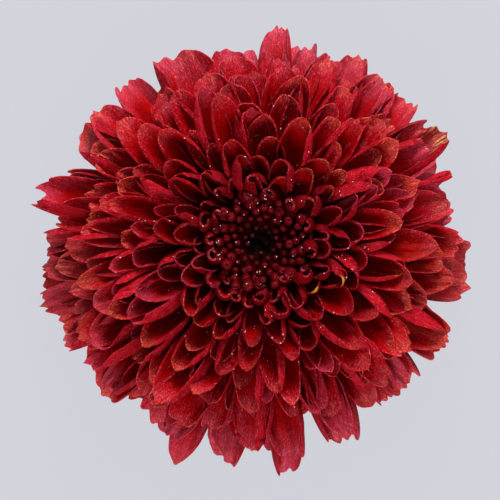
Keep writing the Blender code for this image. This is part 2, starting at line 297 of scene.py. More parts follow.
class Tree:
    """A Geometry Nodes tree with named inputs, and short calls for the nodes that it needs."""

    def __init__(self, name, inputs):
        self.nodes = bpy.data.node_groups.new(name, "GeometryNodeTree")
        face = self.nodes.interface
        face.new_socket("Geometry", in_out="OUTPUT", socket_type="NodeSocketGeometry")
        self.keys = {}
        for label, start in inputs.items():
            kind = "NodeSocketInt" if isinstance(start, int) else "NodeSocketFloat"
            socket = face.new_socket(label, in_out="INPUT", socket_type=kind)
            socket.default_value = start
            self.keys[label] = socket.identifier
        self.entry = self.add("NodeGroupInput")

    def add(self, kind, links=None, **settings):
        return new_node(self.nodes, kind, links, **settings)

    def given(self, label):
        return Value(self.nodes, self.entry.outputs[label])

    def named(self, name):
        node = self.add("GeometryNodeInputNamedAttribute", {"Name": name}, data_type="FLOAT")
        return Value(self.nodes, node.outputs["Attribute"])

    def store(self, geometry, name, value, domain="POINT"):
        links = {"Geometry": geometry, "Name": name, "Value": value}
        node = self.add("GeometryNodeStoreNamedAttribute", links, data_type="FLOAT", domain=domain)
        return node.outputs["Geometry"]

    def vector(self, x, y, z):
        return self.add("ShaderNodeCombineXYZ", {"X": x, "Y": y, "Z": z}).outputs[0]

    def parts(self, kind):
        """The x, y and z of a node that gives a vector for each point."""
        split = self.add("ShaderNodeSeparateXYZ", {"Vector": self.add(kind).outputs[0]})
        return tuple(Value(self.nodes, output) for output in split.outputs)

    def moved(self, sheet, x, y, z):
        """The sheet with its points at these places, in millimetres."""
        place = self.vector(x * MM, y * MM, z * MM)
        return self.add("GeometryNodeSetPosition", {"Geometry": sheet, "Position": place}).outputs[0]

    def welded(self, geometry, distance):
        links = {"Geometry": geometry, "Distance": distance * MM}
        return self.add("GeometryNodeMergeByDistance", links).outputs[0]

    def noise(self, x, y, z, scale):
        """Cloudy noise from about -0.5 to 0.5."""
        links = {"Vector": self.vector(x, y, z), "Scale": scale, "Detail": 2.0}
        return Value(self.nodes, self.add("ShaderNodeTexNoise", links).outputs["Fac"]) - 0.5

    def blades(self, count, columns, rows):
        """A flat grid for each of count blades. Its points carry the blade's number, how far they
        are across it (-1 to 1) and along it (0 to 1)."""
        grid = self.add(
            "GeometryNodeMeshGrid",
            {"Size X": 2.0, "Size Y": 1.0, "Vertices X": columns, "Vertices Y": rows},
        )
        across, along, _ = self.parts("GeometryNodeInputPosition")
        sheet = self.store(grid.outputs["Mesh"], "across", across)
        sheet = self.store(sheet, "along", along + 0.5)
        points = self.add("GeometryNodePoints", {"Count": count}).outputs[0]
        index = Value(self.nodes, self.add("GeometryNodeInputIndex").outputs[0])
        points = self.store(points, "number", index)
        copies = self.add("GeometryNodeInstanceOnPoints", {"Points": points, "Instance": sheet})
        return self.add("GeometryNodeRealizeInstances", {"Geometry": copies.outputs[0]}).outputs[0]

    def thicken(self, sheet, thickness):
        """Gives the sheets a back and edges, marks the faces of the back, and closes them."""
        turned = self.add("GeometryNodeFlipFaces", {"Mesh": sheet}).outputs[0]
        raised = self.add(
            "GeometryNodeExtrudeMesh",
            {"Mesh": turned, "Offset Scale": thickness, "Individual": False},
            mode="FACES",
        )
        top = Value(self.nodes, raised.outputs["Top"])
        backs = self.store(raised.outputs["Mesh"], "back", top, domain="FACE")
        both = self.add("GeometryNodeJoinGeometry")
        self.nodes.links.new(sheet, both.inputs[0])
        self.nodes.links.new(backs, both.inputs[0])
        return self.welded(both.outputs[0], WELD)

    def end(self, geometry, material, back_material=None):
        """The last nodes: everything made real, then its material, and another for the backs."""
        smooth = self.add("GeometryNodeSetShadeSmooth", {"Geometry": geometry}).outputs[0]
        whole = self.add("GeometryNodeRealizeInstances", {"Geometry": smooth}).outputs[0]
        links = {"Geometry": whole, "Material": material}
        finished = self.add("GeometryNodeSetMaterial", links).outputs[0]
        if back_material:
            links = {"Geometry": finished, "Selection": self.named("back"), "Material": back_material}
            finished = self.add("GeometryNodeSetMaterial", links).outputs[0]
        self.add("NodeGroupOutput", {"Geometry": finished})

    def plain_mesh(self, name, **values):
        """The tree's result as a plain mesh, for these values of its inputs."""
        holder = bpy.data.objects.new(name, bpy.data.meshes.new(name))
        bpy.context.scene.collection.objects.link(holder)
        modifier = holder.modifiers.new("grow", "NODES")
        modifier.node_group = self.nodes
        for label, value in values.items():
            modifier[self.keys[label]] = value
        bpy.context.view_layer.update()
        graph = bpy.context.evaluated_depsgraph_get()
        mesh = bpy.data.meshes.new_from_object(holder.evaluated_get(graph))
        mesh.name = name
        bpy.data.objects.remove(holder)
        mesh.set_sharp_from_angle(angle=BLADE_SHARP_ANGLE)
        return mesh


def spread(number, step):
    """A value from -0.5 to 0.5 that differs from blade to blade."""
    return (number * step).fraction() - 0.5


def attribute(material, name):
    node = shader_node(material, "ShaderNodeAttribute", attribute_name=name)
    return Value(material.node_tree, node.outputs["Fac"])


def bract_material():
    """Dull green, paler down the middle, with a brown papery margin."""
    material, shader = new_material("bract_green", 0.62, 0.35)
    across = attribute(material, "across").size()
    along = attribute(material, "along")
    mottle = noise(material, object_point(material), 1500.0)
    green = colour_mix(material, BRACT_DARK, BRACT_PALE, mottle)
    green = colour_mix(material, green, BRACT_MIDRIB, across.rise(0.22, 0.0) * 0.5)
    paper = colour_mix(material, PAPER_DARK, PAPER_PALE, mottle)
    margin = (across + along.rise(0.8, 1.0) * 0.5).rise(0.72, 0.9)
    colour = colour_mix(material, green, paper, margin)
    paint(material, shader, colour)
    bump(material, shader, mottle, 0.4, 0.0002)
    return material


def bract_tree(material):
    """Flat scales on the cup's outside, each with a raised midrib and margins that turn up a little."""
    sizes = {"Scales": BRACT_COUNT, "Thickness": 0.25, "Longest": 11.6, "Shortest": 7.2}
    tree = Tree("bract_scales", sizes)
    sheet = tree.blades(tree.given("Scales"), 9, 13)
    number, across, along = (tree.named(name) for name in ("number", "across", "along"))
    age = number / (tree.given("Scales") - 1)
    turn = number * GOLDEN_ANGLE + spread(number, BEARING_STEP) * 0.1
    tip_out = age.between(tree.given("Longest"), tree.given("Shortest"))
    out = tip_out - BRACT_LENGTH + along * BRACT_LENGTH
    half = (1 - (along * 1.55 - 0.55).size() ** 2.6).most(0.0) ** 0.7 * BRACT_HALF_WIDTH
    wall = ((out.least(CUP_RADIUS) - CUP_NECK) / (CUP_RADIUS - CUP_NECK)).most(0.0) ** 2.0
    height = wall.between(CUP_NECK_HEIGHT, CUP_WALL_TOP)
    height = height + (out - CUP_RADIUS).most(0.0) * BRACT_TIP_SLOPE - 0.28 - (1 - age) * 0.1
    height = height + across**2.0 * 0.22 - across.size().rise(0.12, 0.0) * 0.06
    height = height + tree.noise(across * 2.0, along * 4.0, number * 3.7, 1.2) * 0.25
    x = out * turn.cos() - across * half * turn.sin() + axis.x
    y = out * turn.sin() + across * half * turn.cos() + axis.y
    sheet = tree.moved(sheet, x, y, height)
    tree.end(tree.thicken(sheet, tree.given("Thickness") * MM), material)
    return tree


def cup_mesh(material):
    """The cup that the scales grow from, turned about the flower's axis."""
    profile = [(0.0, cup_top), (CUP_RIM_RADIUS, cup_top)]
    for step in range(CUP_STEPS + 1):
        share = 1 - step / CUP_STEPS
        height = CUP_NECK_HEIGHT + (CUP_WALL_TOP - CUP_NECK_HEIGHT) * share**2
        profile.append((CUP_NECK + (CUP_RADIUS - CUP_NECK) * share, height))
    profile.append((0.0, CUP_FOOT))
    return turned_mesh("bract_cup", profile, CUP_SIDES, material)


def turned_mesh(name, profile, sides, material):
    """A closed solid of revolution about the flower's axis, from (radius, height), top to bottom."""
    angles = [2 * math.pi * side / sides for side in range(sides)]
    rings = [[on_axis(angle, out, height) for angle in angles] for out, height in profile[1:-1]]
    ends = [on_axis(0.0, *end) for end in (profile[0], profile[-1])]
    return closed_mesh(name, rings, *ends, material)


bract_green = bract_material()
scales = plain_piece("bract_scales", bract_tree(bract_green).plain_mesh("bract_scales"))
cup = plain_piece("bract_cup", cup_mesh(bract_green))
for piece in (scales, cup):
    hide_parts("bracts")

# Receptacle
# The swollen end of the stem, a low dome that every floret grows from. It is hidden but for gaps between
# the florets' narrow feet, where it is painted a dark red as shade, and a green-black of deeper painted
# shade right in the middle.
CORE_RADIUS = 10.8
CORE_HALF_HEIGHT = 4.4
CORE_MIDDLE = 10.8
CORE_TOP = 14.3
CORE_BOTTOM = 8.1
CORE_SIDES = 64
CORE_STEPS = 24
CORE_FLAT_STEPS = 8
EYE_RADIUS, EYE_INNER_RADIUS = 3.6, 1.3
# Painted shade: the dark red of the gaps between the florets' feet, and the green-black of the deep
# middle
GAP_SHADE_DARK, GAP_SHADE_RED = (0.06, 0.0006, 0.0008), (0.13, 0.0012, 0.002)
EYE_SHADE_BLACK, EYE_SHADE_GREEN = (0.0, 0.0002, 0.0), (0.012, 0.005, 0.003)


def receptacle_material():
    """Painted shade: dark red, with a green-black eye of deeper painted shade in the middle that has a
    ragged edge.
    """
    material, shader = new_material("receptacle_painted_shade", 0.8, 0.02)
    mottle = noise(material, object_point(material), 1200.0)
    x, y, _ = object_xyz(material)
    ragged = from_axis(x, y) + (mottle - 0.5) * MM
    dark = colour_mix(material, GAP_SHADE_DARK, GAP_SHADE_RED, mottle)
    eye = colour_mix(material, EYE_SHADE_BLACK, EYE_SHADE_GREEN, mottle.rise(0.35, 0.7))
    dark = colour_mix(material, dark, eye, ragged.rise(EYE_RADIUS * MM, EYE_INNER_RADIUS * MM))
    paint(material, shader, dark)
    bump(material, shader, mottle, 0.5, 0.0003)
    return material


def receptacle_profile():
    """A ball's outline from just off its top to well under its middle, pressed flatter on top."""
    points = [(0.0, CORE_TOP)]
    for step in range(1, CORE_STEPS + 1):
        angle = math.radians(88 - 130 * step / CORE_STEPS)
        half_height = CORE_HALF_HEIGHT * (0.8 if step < CORE_FLAT_STEPS else 1.0)
        points.append((CORE_RADIUS * math.cos(angle), CORE_MIDDLE + half_height * math.sin(angle)))
    points.append((0.0, CORE_BOTTOM))
    return points


receptacle_skin = receptacle_material()
core = turned_mesh("receptacle", receptacle_profile(), CORE_SIDES, receptacle_skin)
receptacle = plain_piece("receptacle", core)
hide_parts("ray_florets")

# Ray florets
# The petals, in a golden-angle spiral: half-open tubes round the centre, then upright spoons, then
# broad toothed blades that arch outwards. Velvety crimson inside and darker on the back, each grew
# from the receptacle by a narrow foot.
RAY_COUNT = 216
DISC_COUNT = 50
HEAD_RADIUS = 29.4
INNER_REACH = 7.0
ROOT_RADII = (5.0, 10.0)
ROOT_HEIGHTS = (13.0, 9.6)
RAY_WIDTHS = (0.75, 5.9)
RAY_TURNS = (38, -50)
RAY_LEANS = (60, 50)
YOUNG_WALL, OLD_WALL = 0.34, 0.13
CRINKLE = 0.5
GROOVES = 9.4
TOOTH_DEPTH = 0.037
BEAK_LENGTH = 0.042
CLEFT_DEPTH = 0.09
FOOT_SHARE = 0.3
FOOT_END = 0.62
RESTING_COUNT = 5
RESTING_REACH = 28.5
RESTING_HEIGHT = 0.5
RESTING_TURN = 24
LOWEST_POINT = 0.4
OUTLINE_LEAN = 1.0
OUTLINE_LEAN_AZIMUTH = 60.0
RIM_ACCENTS = (
    (4, 2.6), (14, -2.6), (24, -3.2), (42, 0.4), (58, -1.4), (72, -1.4), (93, -2.6), (106, -1.8),
    (121, -4.5), (131, -0.8), (149, -2.2), (166, -1.4), (178, -1.6), (191, 2.0), (206, 2.4), (219, 1.2),
    (228, -1.4), (236, 1.6), (257, -2.4), (268, 1.4), (279, 1.4), (290, -1.2), (304, -2.4), (328, 2.6),
    (346, 1.2),
)
ACCENT_HALF_ANGLE = 8.0
GOLD_TIPPED = (44, 52)
TO_RADIANS = math.pi / 180
RAY_STEPS = {
    "bearing": BEARING_STEP, "wander": 0.1618, "turn": 0.6711, "width": 0.8567, "reach": 0.5698,
    "height": 0.8192, "lobes": 0.6298, "lobe shift": 0.4721, "lobe depth": 0.7321, "teeth": 0.5557,
    "tip": 0.8191, "rounding": 0.1357, "bluntness": 0.9151, "curl": 0.4142, "lopsided": 0.2929,
    "closing": 0.4567, "hood": 0.3819, "hooded": 0.7777, "grooves": 0.1234, "bend": 0.3247,
    "lean": 0.7339, "tone": 0.2361,
}


def outline_extra(azimuth):
    """How much further than the mean the outline reaches at this azimuth, in degrees."""
    extra = ((azimuth - OUTLINE_LEAN_AZIMUTH) * TO_RADIANS).cos() * OUTLINE_LEAN
    for accent, length in RIM_ACCENTS:
        away = ((azimuth - accent) / 360 + 0.5).fraction() * 360 - 180
        extra = extra + (1 - (away / ACCENT_HALF_ANGLE) ** 2.0).most(0.0) * length
    return extra


def rolled_section(across, flat, curl):
    """A blade's section: flat in the middle, then a round turn up to each margin, by curl. Gives the
    place sideways and upwards, for a section that is 1 wide to each side at its widest."""
    radius = (1 - flat) / curl
    bend = (across.size() - flat).most(0.0) / radius
    aside = across.size().least(flat) + bend.sin() * radius
    up = (1 - bend.cos()) * radius
    widest = flat + curl.least(math.pi / 2).sin() * radius
    return across.math("SIGN") * aside / widest, up / widest


def ray_tree(face_material, back_material):
    """Each floret's spine is an arc from the receptacle to its tip, in an upright plane. Its margins
    turn up, so that it is deep like a boat near the centre of the head and shallower at the rim. Age
    is 0 at the centre and 1 at the rim, and a pair of sizes is the youngest's and the oldest's."""
    inputs = {
        "Florets": RAY_COUNT,
        "First floret": 0.0,
        "Step": 1.0,
        "Columns": 11,
        "Rows": 22,
        "Head radius": HEAD_RADIUS,
        "Crown height": 21.9,
        "Rim height": 3.0,
        "Crinkle": CRINKLE,
        "Placed by hand": 0.0,
        "Own bearing": 0.0,
        "Own reach": 30.0,
        "Own height": 4.0,
        "Own width": 5.0,
        "Cleft": 0.0,
        "Rolled": 0.0,
        "Withered": 0.0,
    }
    tree = Tree("ray_florets", inputs)
    sheet = tree.blades(tree.given("Florets"), tree.given("Columns"), tree.given("Rows"))
    across = tree.named("across")
    along = 1 - (1 - tree.named("along")) ** 1.4
    number = tree.named("number") * tree.given("Step") + tree.given("First floret")
    age = number / (RAY_COUNT - 1)
    young = age.rise(0.16, 0.03)
    by_hand, rolled = tree.given("Placed by hand"), tree.given("Rolled")

    def own(trait):
        return spread(number, RAY_STEPS[trait])

    # Which way it points, how it turns, how wide it is, and where its tip is
    resting = number.over(RAY_COUNT - RESTING_COUNT - 0.5) * (1 - by_hand)
    azimuth = (number + DISC_COUNT) * GOLDEN_DEGREES + own("bearing") * 7.0
    azimuth = azimuth + own("wander") * (1 - age) * 14.0
    azimuth = by_hand.between(azimuth, tree.given("Own bearing"))
    bearing = azimuth * TO_RADIANS
    clump = tree.noise(bearing.cos() * 2.2, bearing.sin() * 2.2, age * 5.0, 1.0) * age.between(1.0, 0.5)
    bearing = bearing + clump * 0.3 * (1 - by_hand)
    turn = (age**0.6).between(*RAY_TURNS) + own("turn") * 44 - resting * RESTING_TURN
    turn = turn * TO_RADIANS
    width = (age**0.58).between(*RAY_WIDTHS) * (1 + own("width") * 0.5)
    width = by_hand.between(width, tree.given("Own width"))
    far = 1 - (1 - age**1.15) ** 1.5
    dome = (far**2.0 + 1 - (1 - far**2.0).most(0.0) ** 0.5) / 2
    reach_spread = age * (1 - age) * 9.0 + age * 0.8 + 0.9
    reach = far.between(INNER_REACH, tree.given("Head radius")) + reach_spread * own("reach")
    reach = reach + age.rise(0.45, 0.8) * outline_extra(azimuth)
    height = dome.between(tree.given("Crown height"), tree.given("Rim height"))
    height = height - (1 - age) ** 6.0 * 3.5 + own("height") * 3.0 + clump * 4.0
    reach = resting.between(reach, outline_extra(azimuth) + RESTING_REACH)
    height = resting.between(height, RESTING_HEIGHT)
    reach = by_hand.between(reach, tree.given("Own reach"))
    height = by_hand.between(height, tree.given("Own height"))

    # The arc of its spine, from its root to its tip
    root_out = (age**0.8).between(*ROOT_RADII)
    root_x = bearing.cos() * root_out + axis.x
    root_y = bearing.sin() * root_out + axis.y
    root_z = (age**1.5).between(*ROOT_HEIGHTS)
    kept = 1 - reach / HEAD_RADIUS
    chord_x = bearing.cos() * reach + kept * axis.x - root_x
    chord_y = bearing.sin() * reach + kept * axis.y - root_y
    chord_z = height - root_z
    level = (chord_x**2.0 + chord_y**2.0) ** 0.5
    long = level.over(1.0)
    out_x = long.between(bearing.cos(), chord_x / level)
    out_y = long.between(bearing.sin(), chord_y / level)
    chord_out = chord_x * out_x + chord_y * out_y
    chord = (level**2.0 + chord_z**2.0) ** 0.5
    start = chord_z.math("ARCTAN2", chord_out) - turn / 2
    arc_radius = chord / (turn / 2).sin() / 2
    length = arc_radius * turn

    # Its end: toothed lobes on the old, a cleft in the young, a point between, and round corners
    lobes = (own("lobes") * 3 + 3.5).math("FLOOR")
    lobe = (across * 0.5 + 0.5 + own("lobe shift") * 0.2) * lobes
    tooth = (lobe.fraction() - 0.5).size() * 2
    uneven = spread(lobe.math("FLOOR") + number * 5, RAY_STEPS["lobe depth"]) + 1
    recess = (tooth**1.5 + uneven) * (age * 1.3 + own("teeth")).rise(0.5, 1.2) * TOOTH_DEPTH
    recess = recess * (1 - rolled).most(0.0)
    cleft = (1 - across.size() * 2.5).most(0.0) ** 0.7
    recess = recess + cleft * young * (own("tip") + 0.6) * CLEFT_DEPTH
    beak = (own("tip") + 0.4).most(0.0) * age.rise(0.03, 0.16) * age.rise(0.85, 0.55)
    recess = recess - cleft * beak * BEAK_LENGTH + cleft * tree.given("Cleft")
    rounding = 1 - (1 - across**2.0 * 0.98) ** 0.5
    rounding = rounding * age.between(0.3, 0.7) * (1 + own("rounding") * 0.9)
    share = along - recess * along.rise(0.75, 1.0) - rounding * (width / length) * along.rise(0.5, 1.0)
    angle = start + turn * share
    spine_out = (angle.sin() - start.sin()) * arc_radius
    spine_up = (start.cos() - angle.cos()) * arc_radius

    # Its width, from the narrow foot to the end
    claw = ((share / FOOT_END).least(1.0) ** 1.2).between(FOOT_SHARE, 1.0)
    claw = claw * (1 - share.rise(0.92, 0.8) * rolled * 0.35)
    bluntness = age.rise(0.12, 0.02) * 0.4 + age.rise(0.4, 1.0) * 0.02 + own("bluntness") * 0.22
    end = ((share - 0.5) / 0.5).most(0.0) ** (rolled * 5 + 2.6)
    point = (1 - end * (0.9 - bluntness)).most(0.0) ** 0.56
    half = width * claw * point * 0.5

    # Its margins, which turn up and close over the young, its hood, its grooves and its crinkles
    curl = age.rise(0.22, 0.0).between(1.9, 2.5) + own("curl") * 1.2
    curl = curl * (1 + across.math("SIGN") * own("lopsided") * 0.7) + rolled
    flat = age.rise(0.1, 1.0) * 0.16 + 0.02
    sideways, lift = (part * half for part in rolled_section(across, flat, curl))
    lift = lift * young.between(1.0, 0.65)
    closing = young * (own("closing") + 0.7) * 0.25
    lift = lift + ((share - 0.6).most(0.0) / 0.4) ** 2.0 * (1 - across**2.0) * closing * width
    hood = (age**1.6).between(0.5, 0.04) * (1 + own("hood") * 0.8)
    hood = hood + own("hooded").rise(0.26, 0.42) * age.rise(0.15, 0.35) * 0.4
    lift = lift + ((share - 0.65).most(0.0) / 0.35) ** 2.0 * hood * width
    groove = (across * GROOVES).cos() * (1 - across**2.0) * share.rise(0.2, 0.7) * age.rise(0.2, 1.0)
    groove = groove * (own("grooves") + 0.6) * (width / 5.5) ** 2.0 * 0.4
    crinkle = tree.noise(sideways, share * 9.0, number * 3.7, 0.5) * age * tree.given("Crinkle")
    lift = lift + groove + crinkle * share.rise(0.2, 0.8)
    sideways = sideways + own("bend") * width * share**2.0 * 0.7

    # Its place in the head
    lean = own("lean") * age.between(*RAY_LEANS) * TO_RADIANS * share
    plane = sideways * lean.sin() + lift * lean.cos()
    aside = sideways * lean.cos() - lift * lean.sin()
    out = spine_out - angle.sin() * plane
    x = root_x + out_x * out + out_y * aside
    y = root_y + out_y * out - out_x * aside
    z = (root_z + spine_up + angle.cos() * plane).most(LOWEST_POINT)
    sheet = tree.moved(sheet, x, y, z)
    marks = {
        "age": age,
        "tone": own("tone") + 0.5,
        "gold": sum((number - chosen).size().rise(0.6, 0.4) for chosen in GOLD_TIPPED),
        "withered": tree.given("Withered"),
        "side_mm": sideways,
        "from_edge_mm": (1 - across.size()) * half * 1.2,
        "from_tip_mm": (1 - share) * length,
    }
    for name, value in marks.items():
        sheet = tree.store(sheet, name, value)
    wall = age.rise(0.25, 0.0).between(OLD_WALL, YOUNG_WALL)
    tree.end(tree.thicken(sheet, wall * MM), face_material, back_material)
    return tree


def grain_group():
    """What both sides of a petal show: fine grain along it, cloudy mottling, and tiny velvet cells."""
    group = bpy.data.node_groups.new("petal_grain", "ShaderNodeTree")
    for name in ("Side mm", "From tip mm", "Tone"):
        group.interface.new_socket(name, in_out="INPUT", socket_type="NodeSocketFloat")
    for name in ("Grain", "Cloud", "Cells"):
        group.interface.new_socket(name, in_out="OUTPUT", socket_type="NodeSocketFloat")
    entry = new_node(group, "NodeGroupInput")
    leave = new_node(group, "NodeGroupOutput")
    side, from_tip, tone = (Value(group, socket) for socket in entry.outputs[:3])
    kinds = {"Grain": (5.0, 0.6, 1.0, 2.0), "Cloud": (1.0, 0.7, 1.3, 3.0), "Cells": (1.5, 0.6, 5.5, 2.0)}
    for name, (wide, lengthwise, scale, detail) in kinds.items():
        links = {"X": side * wide, "Y": from_tip * lengthwise, "Z": tone * 90.0}
        vector = new_node(group, "ShaderNodeCombineXYZ", links).outputs[0]
        links = {"Vector": vector, "Scale": scale, "Detail": detail}
        texture = new_node(group, "ShaderNodeTexNoise", links)
        group.links.new(texture.outputs["Fac"], leave.inputs[name])
    return group


petal_grain_group = grain_group()
CELL_PEAKS = (0.53, 0.68)
CELL_DEPTH = 0.0003
GOLD = (0.75, 0.3, 0.03)


def petal_grain(material):
    names = {"Side mm": "side_mm", "From tip mm": "from_tip_mm", "Tone": "tone"}
    links = {label: attribute(material, name) for label, name in names.items()}
    node = shader_node(material, "ShaderNodeGroup", links, node_tree=petal_grain_group)
    return tuple(Value(material.node_tree, socket) for socket in node.outputs[:3])


def gold_tipped(material, colour, from_tip, cloud, across):
    """This colour, with a yellow tip on the few young petals that have one."""
    tip = (from_tip + cloud * 0.4 + across * 0.5).rise(0.9, 0.5) * attribute(material, "gold")
    return colour_mix(material, colour, GOLD, tip)


# Painted light and shade across a petal: the colours of its hollow, its slope and its margins
YOUNG_HOLLOW_PAINTED_LIGHT, OLD_HOLLOW_SHADE = (0.6, 0.0002, 0.0012), (0.36, 0.0001, 0.0008)
YOUNG_MARGIN_PAINTED_SHADE, OLD_LIT_MARGIN = (0.26, 0.0009, 0.006), (0.49, 0.0017, 0.0095)
SLOPE_HALF_LIT_RED = (0.46, 0.0003, 0.002)
# Painted highlights: the raspberry sheen, the pale rims of the young, the pinkish cast and the glints on
# the cells
RASPBERRY_SHEEN = (0.6, 0.085, 0.15)
YOUNG_RIM_HIGHLIGHT = (0.5, 0.025, 0.05)
PINK_CAST_HIGHLIGHT = (0.62, 0.05, 0.12)
RUST = (0.66, 0.1, 0.035)
CELL_GLINT = (0.82, 0.24, 0.26)
AGED_BROWN = (0.42, 0.06, 0.04)
WITHERED_BROWN, STRAW = (0.28, 0.03, 0.035), (0.5, 0.36, 0.14)


def petal_face_material():
    """Velvety crimson, with light and shade painted across each petal: deep red in a shaded hollow,
    brighter on a half-lit slope up from it and brighter still on lit margins, though on the young the
    hollow is painted lighter and the margins darker. Towards the tip and margins it is pinker with
    painted highlights, a raspberry sheen and glints on the fine cells, and the young petals round the
    deep centre are darker by painted shade. The very tips are rust-coloured. The petals at the head's
    two sides are browner, and darker by painted shade."""
    material, shader = new_material("petal_face", 0.42, 0.025)
    shader.inputs["Subsurface Weight"].default_value = 0.5
    shader.inputs["Subsurface Radius"].default_value = (1.0, 0.12, 0.1)
    shader.inputs["Subsurface Scale"].default_value = 0.0008
    grain, cloud, cells = petal_grain(material)
    age, tone = attribute(material, "age"), attribute(material, "tone")
    across = attribute(material, "across").size()
    from_edge, from_tip = attribute(material, "from_edge_mm"), attribute(material, "from_tip_mm")
    x, y, _ = object_xyz(material)
    glint = cells.rise(*CELL_PEAKS)

    # Painted light and shade across the petal: on the older petals a shaded hollow, a half-lit slope up
    # from it and lit margins; on the young a hollow painted lighter and margins painted darker
    inward = from_edge.least(from_tip * 0.4) * age.rise(0.45, 1.0).between(1.0, 0.5)
    inward = inward * age.rise(0.0, 0.3).between(2.5, 1.0) + (cloud - 0.5) * 0.6
    lit = inward.rise(1.35, 0.3) * from_tip.rise(12.0, 3.0)
    slope = inward.rise(2.2, 0.8) * from_tip.rise(14.0, 5.0)
    colour = colour_mix(material, YOUNG_HOLLOW_PAINTED_LIGHT, OLD_HOLLOW_SHADE, age.rise(0.05, 0.4))
    colour = colour_mix(material, colour, SLOPE_HALF_LIT_RED, slope)
    margin = colour_mix(material, YOUNG_MARGIN_PAINTED_SHADE, OLD_LIT_MARGIN, age.rise(0.1, 0.75))
    colour = colour_mix(material, colour, margin, lit)

    # Painted highlights: a raspberry sheen and a pinkish cast on some petals where the margins are lit,
    # pale rims on the young, and glints on the cells; then rust at the tips and a few gold tips, their
    # own colours
    pink_sheen = from_tip.rise(3.0, 0.3) * 0.3 + cloud.rise(0.5, 0.68) * 0.48 + age.rise(0.75, 1.0) * 0.45
    colour = colour_mix(material, colour, RASPBERRY_SHEEN, pink_sheen * lit * age.rise(0.25, 0.9))
    rim_highlight = across.rise(0.86, 1.0).most(from_tip.rise(0.3, 0.0)) * age.rise(0.4, 0.1)
    colour = colour_mix(material, colour, YOUNG_RIM_HIGHLIGHT, rim_highlight * 0.6)
    colour = colour_mix(material, colour, PINK_CAST_HIGHLIGHT, tone.rise(0.3, 0.05) * lit * 0.35)
    beside = x.size().rise(5.0 * MM, 26.0 * MM)
    rust = (from_tip - cloud * 2.0 - beside).rise(0.9, -1.0)
    rust = rust * (tone + age * 0.5 + beside * 0.4).rise(0.65, 1.3)
    colour = colour_mix(material, colour, RUST, rust * cells.rise(0.35, 0.65) * 0.9)
    colour = colour_mix(material, colour, CELL_GLINT, glint * lit * 0.28)
    colour = gold_tipped(material, colour, from_tip, cloud, across)

    # Painted light and shade over the grain's own streaks and cells: brighter painted glints, darker
    # very margins, brighter tips on the older petals by painted light, and darker young petals round the
    # deep centre by painted shade. At the head's two sides the petals are browner, and darker by painted
    # shade
    shade = grain.rise(0.25, 0.75).between(0.75, 1.2) * cells.rise(0.3, 0.55).between(0.85, 1.0)
    shade = shade * glint.between(1.0, 1.28) * across.rise(0.9, 1.0).between(1.0, 0.75)
    shade = shade * (from_tip.rise(7.0, 0.5) * age.rise(0.3, 0.9)).between(1.0, 1.27)
    brown_shaded_sides = x.size().rise(16.0 * MM, 25.0 * MM) * (y + 6.0 * MM).size().rise(11.0 * MM, 4.0 * MM)
    colour = colour_mix(material, colour, AGED_BROWN, brown_shaded_sides * cloud.rise(0.3, 0.6) * 0.4)
    shade = shade * age.rise(0.0, 0.5).between(0.55, 0.76) * brown_shaded_sides.between(1.0, 0.84)
    withered = attribute(material, "withered") * from_tip.rise(8.0, 3.0)
    colour = colour_mix(material, colour, WITHERED_BROWN, withered * 0.7)
    colour = colour_mix(material, colour, STRAW, withered * grain.rise(0.55, 0.62) * 0.9)
    links = {"Vector": colour, "Scale": shade}
    shaded = shader_node(material, "ShaderNodeVectorMath", links, operation="SCALE")
    paint(material, shader, shaded.outputs[0])
    bump(material, shader, grain * 0.5 + cells, 0.7, CELL_DEPTH)
    return material


# Painted glints on the cells, and painted shade at the foot and on the young backs
BACK_DARK, BACK_LIGHT = (0.2, 0.0008, 0.0035), (0.48, 0.006, 0.017)
BACK_GLINT = (0.65, 0.08, 0.12)
BACK_FOOT_SHADE = (0.18, 0.001, 0.003)
YOUNG_BACK_SHADE = (0.1, 0.0004, 0.0014)


def petal_back_material():
    """The back of a petal: smoother, streaked crimson, with painted glints on its cells, and darker by
    painted shade at the foot and on the young.
    """
    material, shader = new_material("petal_back", 0.5, 0.025)
    grain, cloud, cells = petal_grain(material)
    age, from_tip = attribute(material, "age"), attribute(material, "from_tip_mm")
    streaked = (cloud * 0.5 + grain * 0.5).rise(0.3, 0.7)
    colour = colour_mix(material, BACK_DARK, BACK_LIGHT, streaked)
    # Painted glints on the cells, then the foot and the young backs darkened as painted shade
    colour = colour_mix(material, colour, BACK_GLINT, cells.rise(*CELL_PEAKS) * 0.4)
    colour = colour_mix(material, BACK_FOOT_SHADE, colour, from_tip.rise(10.0, 3.0))
    colour = colour_mix(material, YOUNG_BACK_SHADE, colour, age.rise(0.02, 0.5).between(0.12, 1.0))
    across = attribute(material, "across").size()
    colour = gold_tipped(material, colour, from_tip, cloud, across)
    paint(material, shader, colour)
    bump(material, shader, grain + cells * 0.5, 0.6, CELL_DEPTH)
    return material


rays = ray_tree(petal_face_material(), petal_back_material())
BROAD_COLUMNS, BROAD_ROWS = 21, 30
RAY_GROUPS = (
    ("inner_rays", 0.0, 1.0, 64, 17, 20),
    ("middle_rays", 64.0, 1.0, 76, 17, 26),
    ("outer_rays", 140.0, 1.0, 76, BROAD_COLUMNS, BROAD_ROWS),
    ("filling_rays", 96.5, 2.0, 60, 17, 26),
)
for name, first, step, count, columns, rows in RAY_GROUPS:
    values = {"First floret": first, "Step": step, "Florets": count, "Columns": columns, "Rows": rows}
    petals = plain_piece(name, rays.plain_mesh(name, **values))
    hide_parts("ray_florets")

